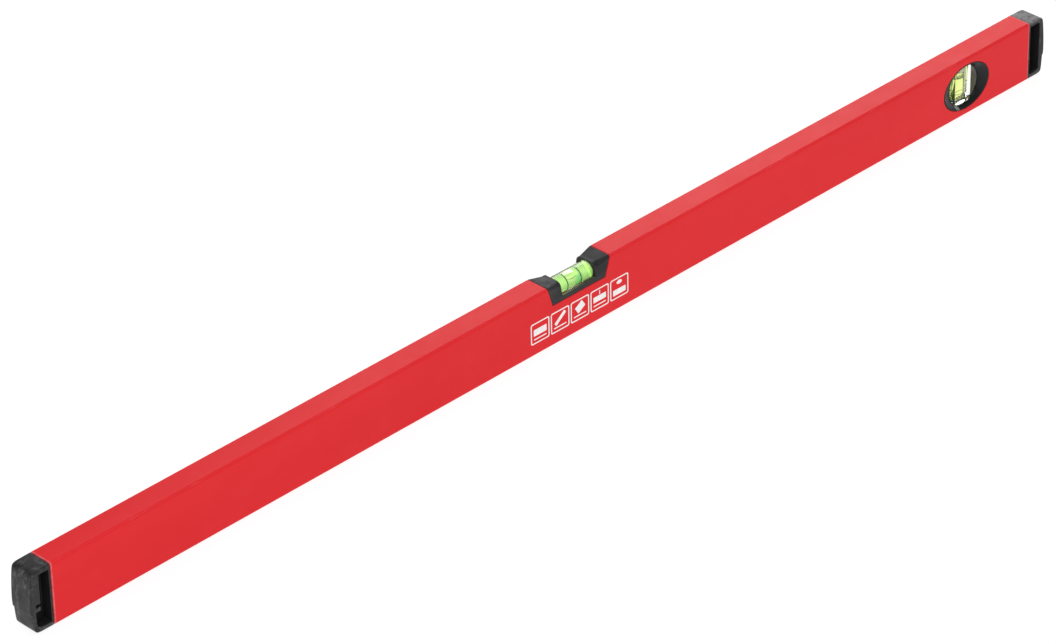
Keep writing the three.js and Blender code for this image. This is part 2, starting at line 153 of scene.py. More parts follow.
def outward(verts, faces):
    """Turns all faces of a closed mesh over if its volume comes out negative."""
    points = np.asarray(verts, float)
    volume = 0.0
    for face in faces:
        first = points[face[0]]
        for i in range(1, len(face) - 1):
            volume += float(np.dot(first, np.cross(points[face[i]], points[face[i + 1]])))
    return faces if volume > 0 else [tuple(reversed(f)) for f in faces]


def prism(outlines, start, end, axis):
    """Prism along an axis from one outline, or hollow from an outer and an inner one with
    equal counts. Outline points leave that axis out."""
    verts = [(*p[:axis], level, *p[axis:])
             for level in (start, end) for outline in outlines for p in outline]
    n = len(outlines[0])
    pairs = [(i, (i + 1) % n) for i in range(n)]
    if len(outlines) == 1:
        faces = [tuple(range(n)), tuple(range(2 * n - 1, n - 1, -1))]
        faces += [(i, n + i, n + j, j) for i, j in pairs]
    else:
        faces = []
        for i, j in pairs:
            faces.append((i, j, 2 * n + j, 2 * n + i))
            faces.append((n + j, n + i, 3 * n + i, 3 * n + j))
        for i, j in pairs:
            faces.append((i, n + i, n + j, j))
            faces.append((2 * n + i, 2 * n + j, 3 * n + j, 3 * n + i))
    return verts, outward(verts, faces)


def rounded_rect(x, z, half_x, half_z, radius, parts=6, turn=0.0):
    """Outline of a rounded rectangle, turned by some degrees about its centre."""
    cos_turn, sin_turn = math.cos(math.radians(turn)), math.sin(math.radians(turn))
    out = []
    for side_x, side_z, from_angle in ((1, -1, -90), (1, 1, 0), (-1, 1, 90), (-1, -1, 180)):
        for i in range(parts + 1):
            angle = math.radians(from_angle + 90 * i / parts)
            px = side_x * (half_x - radius) + radius * math.cos(angle)
            pz = side_z * (half_z - radius) + radius * math.sin(angle)
            out.append((x + px * cos_turn - pz * sin_turn, z + px * sin_turn + pz * cos_turn))
    return out


def ellipse_outline(x, z, half_x, half_z, parts):
    angles = [2 * math.pi * i / parts for i in range(parts)]
    return [(x + half_x * math.cos(t), z + half_z * math.sin(t)) for t in angles]


def smooth_curve(points, parts=4):
    """Catmull-Rom through an open run of points."""
    pts = np.asarray(points, float)
    ext = np.vstack([2 * pts[0] - pts[1], pts, 2 * pts[-1] - pts[-2]])
    out = []
    for i in range(1, len(ext) - 2):
        p0, p1, p2, p3 = ext[i - 1:i + 3]
        for t in np.linspace(0, 1, parts, endpoint=False):
            out.append(0.5 * ((2 * p1) + (-p0 + p2) * t + (2 * p0 - 5 * p1 + 4 * p2 - p3) * t * t
                              + (-p0 + 3 * p1 - 3 * p2 + p3) * t ** 3))
    out.append(ext[-2])
    return [tuple(p) for p in out]


def rounded(profile, radius, parts=3):
    """Rounds the corners of a lathe profile."""
    out = [profile[0]]
    for i in range(1, len(profile) - 1):
        before, corner, after = (np.array(p, float) for p in profile[i - 1:i + 2])
        len_before = np.linalg.norm(before - corner)
        len_after = np.linalg.norm(after - corner)
        size = min(radius, 0.45 * len_before, 0.45 * len_after)
        if size < 1e-4:
            out.append(tuple(corner))
            continue
        start = corner + (before - corner) / len_before * size
        end = corner + (after - corner) / len_after * size
        for k in range(parts + 1):
            t = k / parts
            out.append(tuple((1 - t) ** 2 * start + 2 * t * (1 - t) * corner + t * t * end))
    out.append(profile[-1])
    return out


def lathe(profile, segments):
    """Closed body of revolution about local X from a profile [(x, r), ...] that starts and ends
    on the axis, or closes on itself. Also returns the number of the ring each face starts from,
    with -1 for the first end's fan."""
    closed = profile[0][1] > 1e-9
    rings = profile if closed else profile[1:-1]
    verts, faces, ring_of = [], [], []
    for x, r in rings:
        for i in range(segments):
            t = 2 * math.pi * i / segments
            verts.append((x, r * math.cos(t), r * math.sin(t)))
    n = len(rings)
    pairs = [(i, (i + 1) % segments) for i in range(segments)]
    for k in range(n if closed else n - 1):
        here, there = k * segments, (k + 1) % n * segments
        for i, j in pairs:
            faces.append((here + i, there + i, there + j, here + j))
            ring_of.append(k)
    if not closed:
        hub, last = len(verts), (n - 1) * segments
        verts += [(profile[0][0], 0, 0), (profile[-1][0], 0, 0)]
        for i, j in pairs:
            faces += [(hub, i, j), (hub + 1, last + j, last + i)]
            ring_of += [-1, n - 1]
    return np.array(verts), faces, ring_of


# ---------------------------------------------------------------- skin over a distance field


def steps(lo, hi, coarse, fine=None, zones=()):
    """Grid positions from lo to hi, close together inside the zones."""
    out = [lo]
    at = lo
    while at < hi - 1e-9:
        inside = any(a - 1e-9 <= at < b - 1e-9 for a, b in zones)
        following = at + (fine if inside else coarse)
        if not inside:
            for a, _ in zones:
                if at < a - 1e-9 < following:
                    following = a
        at = min(following, hi)
        out.append(at)
    return np.array(out)


SETTLE_ROUNDS = 5       # times the points are pulled onto the surface
SETTLE_REACH = 2e-3     # step for measuring the field's slope


def skin(field, grid):
    """Closed quad mesh of the surface field = 0, negative inside, on a rectilinear grid
    (xs, ys, zs)."""
    values = field(*np.meshgrid(*grid, indexing="ij"))
    values = np.where(np.abs(values) < 1e-7, 1e-7, values)
    inside = values < 0
    nx, ny, nz = values.shape
    count = np.zeros((nx - 1, ny - 1, nz - 1), np.int8)
    for i, j, k in np.ndindex(2, 2, 2):
        count += inside[i:nx - 1 + i, j:ny - 1 + j, k:nz - 1 + k]
    active = (count > 0) & (count < 8)
    number = np.full(active.shape, -1, np.int64)
    number[active] = np.arange(active.sum())
    cells = np.array(np.nonzero(active))

    def corner(offset):
        place = cells + np.array(offset)[:, None]
        return values[tuple(place)], np.stack([line[p] for line, p in zip(grid, place)], 1)

    # One point per cell, at the mean of the crossings on the cell's edges.
    total = np.zeros((cells.shape[1], 3))
    weight = np.zeros(cells.shape[1])
    for axis in range(3):
        for far, near in np.ndindex(2, 2):
            start = [near, far]
            start.insert(axis, 0)
            end = list(start)
            end[axis] = 1
            value_a, point_a = corner(start)
            value_b, point_b = corner(end)
            crossed = (value_a < 0) != (value_b < 0)
            t = np.where(crossed, value_a / np.where(crossed, value_a - value_b, 1.0), 0.0)
            total[crossed] += (point_a + (point_b - point_a) * t[:, None])[crossed]
            weight[crossed] += 1
    points = total / weight[:, None]
    cell_lo, cell_hi = corner((0, 0, 0))[1], corner((1, 1, 1))[1]
    for _ in range(SETTLE_ROUNDS):
        value = field(*points.T)
        slope = np.stack([field(*(points + reach).T) - field(*(points - reach).T)
                          for reach in np.eye(3) * SETTLE_REACH], 1) / (2 * SETTLE_REACH)
        steepness = np.maximum((slope ** 2).sum(1), 0.05)
        points = np.clip(points - (value / steepness)[:, None] * slope, cell_lo, cell_hi)

    # One quad round each grid edge that the surface crosses.
    faces = []
    for axis in range(3):
        second, third = (axis + 1) % 3, (axis + 2) % 3
        lower, upper = [slice(1, -1)] * 3, [slice(1, -1)] * 3
        lower[axis], upper[axis] = slice(None, -1), slice(1, None)
        starts_inside = inside[tuple(lower)]
        changes = starts_inside != inside[tuple(upper)]
        edge = np.array(np.nonzero(changes))
        edge[[second, third]] += 1
        corners = []
        for back_second, back_third in ((1, 1), (0, 1), (0, 0), (1, 0)):
            cell = edge.copy()
            cell[second] -= back_second
            cell[third] -= back_third
            corners.append(number[tuple(cell)])
        quads = np.stack(corners, 1)
        flip = ~starts_inside[changes]
        quads[flip] = quads[flip][:, ::-1]
        faces.append(quads)
    return points, np.concatenate(faces)


# Distance helpers, negative inside.


def meet(one, two, radius):
    """What both shapes share, with the edge between them rounded."""
    return (np.minimum(-radius, np.maximum(one, two))
            + np.hypot(np.maximum(one + radius, 0), np.maximum(two + radius, 0)))


def cut(shape, tool, radius):
    return meet(shape, -tool, radius)


def rect(across, up, half_across, half_up, radius):
    out_a = np.abs(across) - half_across + radius
    out_u = np.abs(up) - half_up + radius
    return (np.hypot(np.maximum(out_a, 0), np.maximum(out_u, 0))
            + np.minimum(np.maximum(out_a, out_u), 0) - radius)


def box(x, y, z, half):
    out_x, out_y, out_z = np.abs(x) - half[0], np.abs(y) - half[1], np.abs(z) - half[2]
    outside = np.sqrt(np.maximum(out_x, 0) ** 2 + np.maximum(out_y, 0) ** 2
                      + np.maximum(out_z, 0) ** 2)
    return outside + np.minimum(np.maximum(out_x, np.maximum(out_y, out_z)), 0)


def ellipse(across, up, half_across, half_up):
    level = np.hypot(across / half_across, up / half_up)
    slope = np.hypot(across / (half_across * half_across), up / (half_up * half_up))
    return level * (level - 1) / np.maximum(slope, 1e-6)


def polygon(across, up, outline):
    pts = np.asarray(outline, float)
    nearest = np.full(across.shape, 1e18)
    sign = np.ones(across.shape)
    for i in range(len(pts)):
        ax, ay = pts[i]
        bx, by = pts[i - 1]
        edge_x, edge_y = bx - ax, by - ay
        from_x, from_y = across - ax, up - ay
        along = (from_x * edge_x + from_y * edge_y) / (edge_x * edge_x + edge_y * edge_y)
        t = np.clip(along, 0, 1)
        gap_x, gap_y = from_x - edge_x * t, from_y - edge_y * t
        nearest = np.minimum(nearest, gap_x * gap_x + gap_y * gap_y)
        above = up >= ay
        below = up < by
        left = edge_x * from_y > edge_y * from_x
        sign = np.where((above & below & left) | (~above & ~below & ~left), -sign, sign)
    return sign * np.sqrt(nearest)


# ---------------------------------------------------------------- shader graphs


class Graph:
    """Short calls for building a material's or the world's nodes. Colours are (r, g, b)."""

    def __init__(self, owner, output="OutputMaterial"):
        self.owner = owner
        owner.use_nodes = True
        self.tree = owner.node_tree
        self.tree.nodes.clear()
        self.out = self.node(output)

    def node(self, kind, *by_place, **by_name):
        """A node with its inputs given by place or by name, with _ for a space."""
        node = self.tree.nodes.new("ShaderNode" + kind)
        for i, value in enumerate(by_place):
            self.set(node.inputs[i], value)
        for name, value in by_name.items():
            self.set(node.inputs[name.replace("_", " ")], value)
        return node

    def set(self, socket, value):
        if isinstance(value, bpy.types.NodeSocket):
            self.tree.links.new(value, socket)
        elif socket.type == "RGBA":
            socket.default_value = (*value, 1)
        else:
            socket.default_value = value

    def position(self):
        return self.node("TexCoord").outputs["Object"]

    def axes(self, pos):
        return self.node("SeparateXYZ", pos).outputs

    def noise(self, pos, scale, detail=2.0, rough=0.5, distortion=0.0, stretch=None):
        if stretch is not None:
            pos = self.node("Mapping", Vector=pos, Scale=stretch).outputs["Vector"]
        return self.node("TexNoise", Vector=pos, Scale=scale, Detail=detail, Roughness=rough,
                         Distortion=distortion).outputs["Fac"]

    def math(self, operation, *values):
        node = self.node("Math", *values)
        node.operation = operation
        return node.outputs[0]

    def product(self, first, *others):
        for other in others:
            first = self.math("MULTIPLY", first, other)
        return first

    def linear(self, value, gain, offset):
        return self.math("MULTIPLY_ADD", value, gain, offset)

    def abs(self, value):
        return self.math("ABSOLUTE", value)

    def root_sum(self, one, two):
        return self.math("SQRT", self.math("ADD", one, two))

    def ramp(self, value, lo, hi, out_lo=0.0, out_hi=1.0):
        """Smooth step from out_lo at lo to out_hi at hi."""
        node = self.node("MapRange", value, lo, hi, out_lo, out_hi)
        node.interpolation_type = "SMOOTHSTEP"
        return node.outputs[0]

    def rise(self, place, lo, hi):
        """0 to 1 between two places in millimetres."""
        return self.ramp(place, lo * MM, hi * MM)

    def fall(self, place, lo, hi, least=0.0):
        """1 to least between two places in millimetres."""
        return self.ramp(place, lo * MM, hi * MM, 1.0, least)

    def past(self, place, origin):
        """A place measured from an origin in millimetres."""
        return self.math("SUBTRACT", place, origin * MM)

    def mix(self, fac, under, over, strength=None):
        if strength is not None:
            fac = self.product(fac, strength)
        node = self.node("Mix")
        node.data_type = "RGBA"
        self.set(node.inputs["Factor"], fac)
        self.set(node.inputs[6], under)
        self.set(node.inputs[7], over)
        return node.outputs[2]

    def bump(self, height, strength, distance, normal=None):
        """Bump with its distance in metres, laid over an earlier normal if one is given."""
        node = self.node("Bump", Height=height, Strength=strength, Distance=distance)
        if normal is not None:
            self.set(node.inputs["Normal"], normal)
        return node.outputs["Normal"]

    def finish(self, shader):
        self.set(self.out.inputs["Surface"], shader)
        return self.owner

    def finish_principled(self, **inputs):
        return self.finish(self.node("BsdfPrincipled", **inputs).outputs[0])


def new_material(name):
    return Graph(bpy.data.materials.new(name))


# ---------------------------------------------------------------- materials


def red_coat():
    mat = new_material("red_powder_coat")
    pos = mat.position()
    x, y, z = mat.axes(pos)
    broad = mat.noise(pos, scale=6.0, detail=3.0, stretch=(0.6, 3.0, 3.0))
    cloud = mat.noise(pos, scale=45.0, detail=4.0, rough=0.6)
    base = mat.mix(mat.ramp(broad, lo=0.3, hi=0.7),
                   under=(0.765, 0.012, 0.018), over=(0.80, 0.016, 0.022))
    base = mat.mix(mat.ramp(cloud, lo=0.45, hi=0.75), base, over=(0.81, 0.030, 0.037),
                   strength=0.18)
    # Cut ends: the coat is thin and pale on the sawn edge.
    end = mat.rise(mat.abs(x), lo=HALF_LENGTH - 1.5, hi=HALF_LENGTH - 0.35)
    worn = mat.ramp(mat.noise(pos, scale=240.0, detail=3.0), lo=0.30, hi=0.62)
    # Long corners: light rubbing where the coat wraps round the corner.
    side = mat.rise(mat.abs(y), lo=HALF_WIDTH - 1.5, hi=HALF_WIDTH - 0.5)
    off_middle = mat.abs(mat.past(z, origin=HEIGHT / 2))
    corner = mat.product(side, mat.rise(off_middle, lo=HEIGHT / 2 - 1.5, hi=HEIGHT / 2 - 0.5))
    patches = mat.noise(pos, scale=90.0, detail=4.0, rough=0.65, stretch=(0.25, 1, 1))
    rub = mat.product(corner, mat.ramp(patches, lo=0.52, hi=0.72))
    rub_share = 0.5
    wear = mat.math("MAXIMUM", mat.product(end, mat.linear(worn, gain=0.5, offset=0.35)),
                    mat.product(rub, rub_share))
    base = mat.mix(corner, base, over=(0.84, 0.045, 0.055), strength=0.7)
    base = mat.mix(wear, base, over=(0.86, 0.20, 0.20))
    # Faint handling scratches along the length.
    scratch = mat.noise(pos, scale=900.0, detail=2.0, distortion=0.4, stretch=(0.06, 1.0, 1.0))
    sparse = mat.ramp(mat.noise(pos, scale=14.0, detail=2.0), lo=0.52, hi=0.66)
    line = mat.product(mat.ramp(scratch, lo=0.70, hi=0.76), sparse)
    base = mat.mix(line, base, over=(0.85, 0.25, 0.25), strength=0.16)
    rough = mat.linear(mat.noise(pos, scale=60.0, detail=3.0), gain=0.14, offset=0.33)
    scratch_rough = 0.15
    rough = mat.math("ADD", rough, mat.product(line, scratch_rough))
    peel = mat.noise(pos, scale=620.0, detail=2.0, rough=0.45)
    grit = mat.noise(pos, scale=2600.0, detail=1.0)
    normal = mat.bump(peel, strength=0.22, distance=0.00022)
    normal = mat.bump(grit, strength=0.10, distance=0.00006, normal=normal)
    return mat.finish_principled(Base_Color=base, Roughness=rough, Normal=normal, IOR=1.5,
                                 Specular_IOR_Level=0.135)


def moulded(name, dark, light, rough, bump, grain=1800.0, spec=0.5,
            scuff=0.0, scuff_scale=None, scuff_colour=None, edge=0.0,
            painted_lighting=None, painted_lighting_colour=None, painted_lighting_spec=None,
            painted_light_patch=None, painted_light_patch_colour=None):
    """Grained plastic. rough is the lowest and highest roughness, grain the noise scale under
    bump, and scuff and edge are amounts of wear. The two mask functions pick places where light
    or shade is painted in a colour of its own: the first paints shade or light and its spec
    scales the specular level there, the second paints patches of light."""
    mat = new_material(name)
    pos = mat.position()
    cloud = mat.noise(pos, scale=55.0, detail=4.0, rough=0.6)
    fine = mat.noise(pos, scale=420.0, detail=3.0, rough=0.6)
    base = mat.mix(mat.ramp(cloud, lo=0.3, hi=0.7), dark, light)
    base = mat.mix(mat.ramp(fine, lo=0.4, hi=0.7), base, light, strength=0.35)
    gloss = mat.ramp(mat.noise(pos, scale=110.0, detail=3.0), lo=0.25, hi=0.75)
    roughness = mat.linear(gloss, gain=rough[1] - rough[0], offset=rough[0])
    normal = mat.bump(mat.noise(pos, scale=grain, detail=2.0, rough=0.6),
                      strength=bump, distance=0.0002)
    if scuff > 0:
        smear = mat.noise(pos, scale=scuff_scale, detail=5.0, rough=0.72, distortion=1.2,
                          stretch=(1.0, 1.0, 0.35))
        streak = mat.noise(pos, scale=scuff_scale * 3.2, detail=4.0, rough=0.7, distortion=0.6,
                           stretch=(0.5, 1.3, 1.0))
        marks = mat.product(mat.ramp(smear, lo=0.48, hi=0.66), mat.ramp(streak, lo=0.38, hi=0.62))
        base = mat.mix(marks, base, scuff_colour, strength=scuff)
        scuff_rough = 0.12
        roughness = mat.math("ADD", roughness, mat.product(marks, scuff_rough))
        normal = mat.bump(smear, strength=0.5 * scuff, distance=0.0006, normal=normal)
    # Light painted on in patches: a cast of light, a highlight or a sheen.
    if painted_light_patch is not None:
        speckle = mat.noise(pos, scale=210.0, detail=5.0, rough=0.75, distortion=0.8)
        speckle = mat.ramp(speckle, lo=0.36, hi=0.62, out_lo=0.25, out_hi=1.0)
        base = mat.mix(mat.product(painted_light_patch(mat, pos), speckle), base, painted_light_patch_colour)
    if edge > 0:
        convex = mat.ramp(mat.node("NewGeometry").outputs["Pointiness"], lo=0.515, hi=0.60)
        broken = mat.ramp(mat.noise(pos, scale=160.0, detail=4.0, rough=0.7), lo=0.34, hi=0.60)
        base = mat.mix(mat.product(convex, broken), base, over=(0.10, 0.10, 0.105),
                       strength=edge)
    specular = spec
    # Shade or light painted on in a colour of its own, with the specular level scaled there.
    if painted_lighting is not None:
        painted_lighting_share = painted_lighting(mat, pos)
        base = mat.mix(painted_lighting_share, base, painted_lighting_colour)
        specular = mat.linear(painted_lighting_share, gain=spec * (painted_lighting_spec - 1), offset=spec)
    return mat.finish_principled(Base_Color=base, Roughness=roughness, Normal=normal, IOR=1.5,
                                 Specular_IOR_Level=specular)


def painted_pocket_shade(mat, pos):
    """1 inside the caps' pockets, which are painted with shade and stay free of scuffs."""
    x, y, z = mat.axes(pos)
    along = mat.abs(x)
    return mat.product(mat.rise(along, lo=CAP_START + 0.9, hi=CAP_START + 1.7),
                       mat.fall(along, lo=TIP - 4.5, hi=TIP - 3.9),
                       mat.fall(mat.abs(y), lo=HALF_WIDTH - 1.9, hi=HALF_WIDTH - 0.9),
                       mat.rise(z, lo=3.9, hi=4.7),
                       mat.fall(z, lo=53.2, hi=54.0))


def painted_cap_top_sheen(mat, pos):
    """1 on top of the right cap, which gets a painted paler sheen that the other one lacks."""
    x, _, z = mat.axes(pos)
    return mat.product(mat.rise(x, lo=500, hi=570), mat.rise(z, lo=HEIGHT - 2.6, hi=HEIGHT - 0.9))


def painted_port_wall_light(mat, pos):
    """1 on the wall of the round window, behind the dish, where light is painted on as a paler
    colour and a stronger specular level.
    """
    x, y, z = mat.axes(pos)
    across, up = mat.past(x, origin=PLUMB_X), mat.past(z, origin=PLUMB_Z)
    radius = mat.root_sum(mat.product(across, across), mat.product(up, up))
    return mat.product(mat.rise(radius, lo=18.2, hi=18.6), mat.fall(radius, lo=19.15, hi=19.4),
                       mat.fall(mat.abs(y), lo=BEZEL_FACE - 5.2, hi=BEZEL_FACE - 4.6))


def painted_dish_highlight(mat, pos):
    """1 on a painted highlight low on the dish, on the side towards the middle of the level."""
    x, _, z = mat.axes(pos)
    across, up = mat.past(x, origin=PLUMB_X - 11.2), mat.past(z, origin=PLUMB_Z - 17.6)
    cos_tilt, sin_tilt = 0.75, 0.66         # tilt of the patch
    narrow, wide = 3.0, 0.7                 # weights that make it longer one way
    one = mat.math("ADD", mat.product(across, cos_tilt), mat.product(up, sin_tilt))
    two = mat.math("SUBTRACT", mat.product(up, cos_tilt), mat.product(across, sin_tilt))
    radius = mat.root_sum(mat.product(one, one, narrow), mat.product(two, two, wide))
    return mat.fall(radius, lo=1.2, hi=4.2)


def painted_vial_light_cast(mat, pos):
    """1 on top of the low walls by the level vial, where green light cast from it is painted on."""
    x, _, z = mat.axes(pos)
    return mat.product(mat.rise(z, lo=43.75, hi=44.25), mat.fall(z, lo=44.7, hi=44.9),
                       mat.fall(mat.abs(x), lo=19.0, hi=19.7),
                       mat.fall(x, lo=-18.0, hi=12.0, least=0.22))


def white_print():
    mat = new_material("white_print")
    pos = mat.position()
    cloud = mat.ramp(mat.noise(pos, scale=260.0, detail=3.0), lo=0.3, hi=0.7)
    worn = mat.ramp(mat.noise(pos, scale=900.0, detail=3.0, rough=0.7), lo=0.60, hi=0.74)
    base = mat.mix(cloud, under=(0.93, 0.90, 0.89), over=(1.0, 0.98, 0.97))
    base = mat.mix(worn, base, over=(0.80, 0.42, 0.42), strength=0.35)
    normal = mat.bump(mat.noise(pos, scale=1500.0, detail=2.0), strength=0.12, distance=0.0001)
    return mat.finish_principled(Base_Color=base, Roughness=0.5, Normal=normal)


def painted_side_shade(mat, pos, colour, side):
    """Paints shade on the block's face towards the middle of the level in the side colour, cloudy
    and broken by a slanting clear strip that is left unshaded as a lighter streak."""
    x, y, z = mat.axes(pos)
    inner_x = PLUMB_X - BLOCK_HALF_X
    near = mat.fall(x, lo=inner_x + 0.12, hi=inner_x + 0.40)
    clouds = mat.ramp(mat.noise(pos, scale=150.0, detail=2.0), lo=0.30, hi=0.62,
                      out_lo=0.70, out_hi=1.0)
    lean = 0.13
    slant = mat.linear(z, gain=-lean, offset=(-BLOCK_HALF_Y + 1.2 + lean * 41.0) * MM)
    strip = mat.rise(mat.abs(mat.math("SUBTRACT", y, slant)), lo=0.35, hi=0.9)
    return mat.mix(mat.product(near, clouds, strip), colour, side)


def acrylic(name, ior, colour=(1.0, 1.0, 1.0), wavy=False, side=None):
    """Clear material that lets light through to what lies inside, so that the vial's inside
    isn't in its own shadow."""
    mat = new_material(name)
    extra = {}
    if wavy:
        pos = mat.position()
        extra["Normal"] = mat.bump(mat.noise(pos, scale=90.0, detail=2.0),
                                   strength=0.03, distance=0.0002)
        # side is the colour of shade painted on the block's inner face.
        if side is not None:
            colour = painted_side_shade(mat, pos, colour, side)
    glass = mat.node("BsdfPrincipled", Base_Color=colour, Roughness=0.0, IOR=ior,
                     Transmission_Weight=1.0, **extra)
    clear = mat.node("BsdfTransparent", Color=(0.94, 0.97, 0.88))
    shadow = mat.node("LightPath").outputs["Is Shadow Ray"]
    mix = mat.node("MixShader", shadow, glass.outputs[0], clear.outputs[0])
    return mat.finish(mix.outputs[0])


def level_vial_painted_shade(mat, skin_tint):
    """Paints shade into the level vial's skin tint: deeper on its front in a band at mid height and
    by the right mark, and all round at the closed right end."""
    def tinted(*share):
        return tuple(a * b for a, b in zip(share, skin_tint))

    pos = mat.position()
    x, y, z = mat.axes(pos)
    front = mat.fall(y, lo=-1.0, hi=0.6)
    band = mat.product(front, mat.fall(z, lo=LEVEL_Z - 1.0, hi=LEVEL_Z + 3.2),
                       mat.rise(z, lo=LEVEL_Z - 2.2, hi=LEVEL_Z - 0.7))
    tint = mat.mix(band, skin_tint, over=tinted(0.72, 0.82, 0.70))
    wobble = mat.linear(mat.noise(pos, scale=210.0, detail=2.0), gain=3.0 * MM, offset=-1.5 * MM)
    off_mark = mat.abs(mat.past(mat.math("ADD", x, wobble), origin=RIGHT_MARK_X - 2.0))
    teal = mat.product(mat.fall(off_mark, lo=2.2, hi=5.5),
                       mat.fall(z, lo=LEVEL_Z + 1.5, hi=LEVEL_Z + 4.4), front)
    tint = mat.mix(teal, tint, over=tinted(0.44, 0.74, 0.66))
    return mat.mix(mat.rise(x, lo=LEVEL_HALF - 2.6, hi=LEVEL_HALF - 0.2), tint,
                   over=tinted(0.70, 0.64, 0.48))


def liquid(name, skin_tint, soak, glow, shaded=False):
    """Fluorescent liquid: skin_tint is the share each crossing of its surface lets through, and
    soak and glow are absorption and emission per millimetre. The emission is painted light, partly
    the liquid's real fluorescence and partly light it gathers; shaded adds painted shade to the
    tint."""
    mat = new_material(name)
    tint = level_vial_painted_shade(mat, skin_tint) if shaded else skin_tint
    soak_top, glow_top = max(soak), max(glow)
    absorb = mat.node("VolumeAbsorption", Color=tuple(1 - c / soak_top for c in soak),
                      Density=soak_top / MM)
    emit = mat.node("Emission", Color=tuple(c / glow_top for c in glow), Strength=glow_top / MM)
    volume = mat.node("AddShader", absorb.outputs[0], emit.outputs[0])
    mat.set(mat.out.inputs["Volume"], volume.outputs[0])
    return mat.finish(mat.node("BsdfTransparent", Color=tint).outputs[0])


RED = red_coat()
# Light painted on the holder: the vial's green light cast on the low walls.
HOLDER_PLASTIC = moulded(
    "black_holder_plastic", dark=(0.010, 0.010, 0.0115), light=(0.018, 0.018, 0.020),
    rough=(0.40, 0.56), bump=0.22, spec=0.28,
    scuff=0.25, scuff_scale=120.0, scuff_colour=(0.05, 0.05, 0.055), edge=0.25,
    painted_light_patch=painted_vial_light_cast, painted_light_patch_colour=(0.20, 0.25, 0.10))
# Light painted on the bezels: a lit, paler port wall and a highlight low on the dish.
BEZEL_PLASTIC = moulded(
    "black_bezel_plastic", dark=(0.0035, 0.004, 0.0045), light=(0.006, 0.007, 0.008),
    rough=(0.22, 0.34), bump=0.08, spec=0.21,
    painted_lighting=painted_port_wall_light, painted_lighting_colour=(0.15, 0.135, 0.125), painted_lighting_spec=2.0,
    painted_light_patch=painted_dish_highlight, painted_light_patch_colour=(0.40, 0.43, 0.42))
# Light painted on the caps: shade in the pockets and a paler sheen on the right cap's top.
CAP_PLASTIC = moulded(
    "dark_cap_plastic", dark=(0.006, 0.006, 0.007), light=(0.018, 0.018, 0.020),
    rough=(0.36, 0.56), grain=1500.0, bump=0.35, spec=0.30,
    scuff=0.9, scuff_scale=85.0, scuff_colour=(0.125, 0.125, 0.13), edge=0.6,
    painted_lighting=painted_pocket_shade, painted_lighting_colour=(0.017, 0.017, 0.018), painted_lighting_spec=0.4,
    painted_light_patch=painted_cap_top_sheen, painted_light_patch_colour=(0.2, 0.2, 0.205))
PRINT = white_print()
CLEAR = (0.98, 1.0, 0.96)
BARREL_ACRYLIC = acrylic("clear_acrylic", ior=1.49, colour=CLEAR, wavy=True)
# The block's inner face gets painted shade in a dark green.
BLOCK_ACRYLIC = acrylic("clear_block_acrylic", ior=1.49, colour=CLEAR, wavy=True,
                        side=(0.045, 0.15, 0.11))
BORE_WALL = acrylic("acrylic_to_liquid", ior=1.096)
# glow is emission painted in as light; the level liquid also gets painted shade in its tint.
LEVEL_LIQUID = liquid("green_liquid", skin_tint=(0.94, 0.985, 0.86),
                      soak=(0.032, 0.009, 0.058), glow=(0.055, 0.080, 0.034), shaded=True)
PLUMB_LIQUID = liquid("yellow_green_liquid", skin_tint=(0.90, 0.935, 0.55),
                      soak=(0.002, 0.001, 0.004), glow=(0.009, 0.011, 0.006))
AIR = acrylic("air_bubble", ior=0.735)
MARK_INK = moulded("mark_ink", dark=(0.004, 0.075, 0.014), light=(0.010, 0.11, 0.024),
                   rough=(0.4, 0.5), bump=0.05, spec=0.2)
PLUG_PLASTIC = moulded("vial_plug_plastic", dark=(0.62, 0.70, 0.45), light=(0.70, 0.78, 0.52),
                       rough=(0.35, 0.5), bump=0.05)

# ---------------------------------------------------------------- profile

OUTER_ROUND, INNER_ROUND = 2.5, 1.0
CORNER_PARTS = 8
TOOL_HALF_WIDTH = 20        # the cutting tools pass right through the width
NOTCH_OVER_X, NOTCH_OVER_Z = 1, 3.2   # how far the notch tool runs on above the top
OVAL_GAP = 0.3              # round the bezels


def cut_through(obj, name, outline):
    verts, faces = prism([outline], -TOOL_HALF_WIDTH, TOOL_HALF_WIDTH, axis=1)
    carve(obj, new_object(name, verts, faces, []))


def build_profile():
    outer = rounded_rect(0, HEIGHT / 2, HALF_WIDTH, HEIGHT / 2, OUTER_ROUND, CORNER_PARTS)
    inner = rounded_rect(0, HEIGHT / 2, HALF_WIDTH - WALL_SIDE, HEIGHT / 2 - WALL_TOP,
                         INNER_ROUND, CORNER_PARTS)
    verts, faces = prism([outer, inner], -HALF_LENGTH, HALF_LENGTH, axis=0)
    profile = new_object("profile", verts, faces, [RED])
    over_x, over_z = NOTCH_HALF_TOP + NOTCH_OVER_X, HEIGHT + NOTCH_OVER_Z
    cut_through(profile, "notch", [
        (-NOTCH_HALF_FLOOR, NOTCH_FLOOR), (NOTCH_HALF_FLOOR, NOTCH_FLOOR),
        (NOTCH_HALF_TOP, HEIGHT), (over_x, over_z), (-over_x, over_z), (-NOTCH_HALF_TOP, HEIGHT)])
    cut_through(profile, "oval", ellipse_outline(
        PLUMB_X, PLUMB_Z, BEZEL_HALF_X + OVAL_GAP, BEZEL_HALF_Z + OVAL_GAP, parts=120))
    weld(profile, distance=0.002)
    bevel = profile.modifiers.new("edge", "BEVEL")
    bevel.width = 0.28 * MM
    bevel.segments = 3
    bevel.limit_method = "ANGLE"
    bevel.angle_limit = math.radians(40)
    bevel.use_clamp_overlap = True
    apply_modifiers(profile)
    shade(profile.data, sharp=50)
    normals = profile.modifiers.new("normals", "WEIGHTED_NORMAL")
    normals.keep_sharp = True
    normals.weight = 90
    piece(profile, "box_profile")


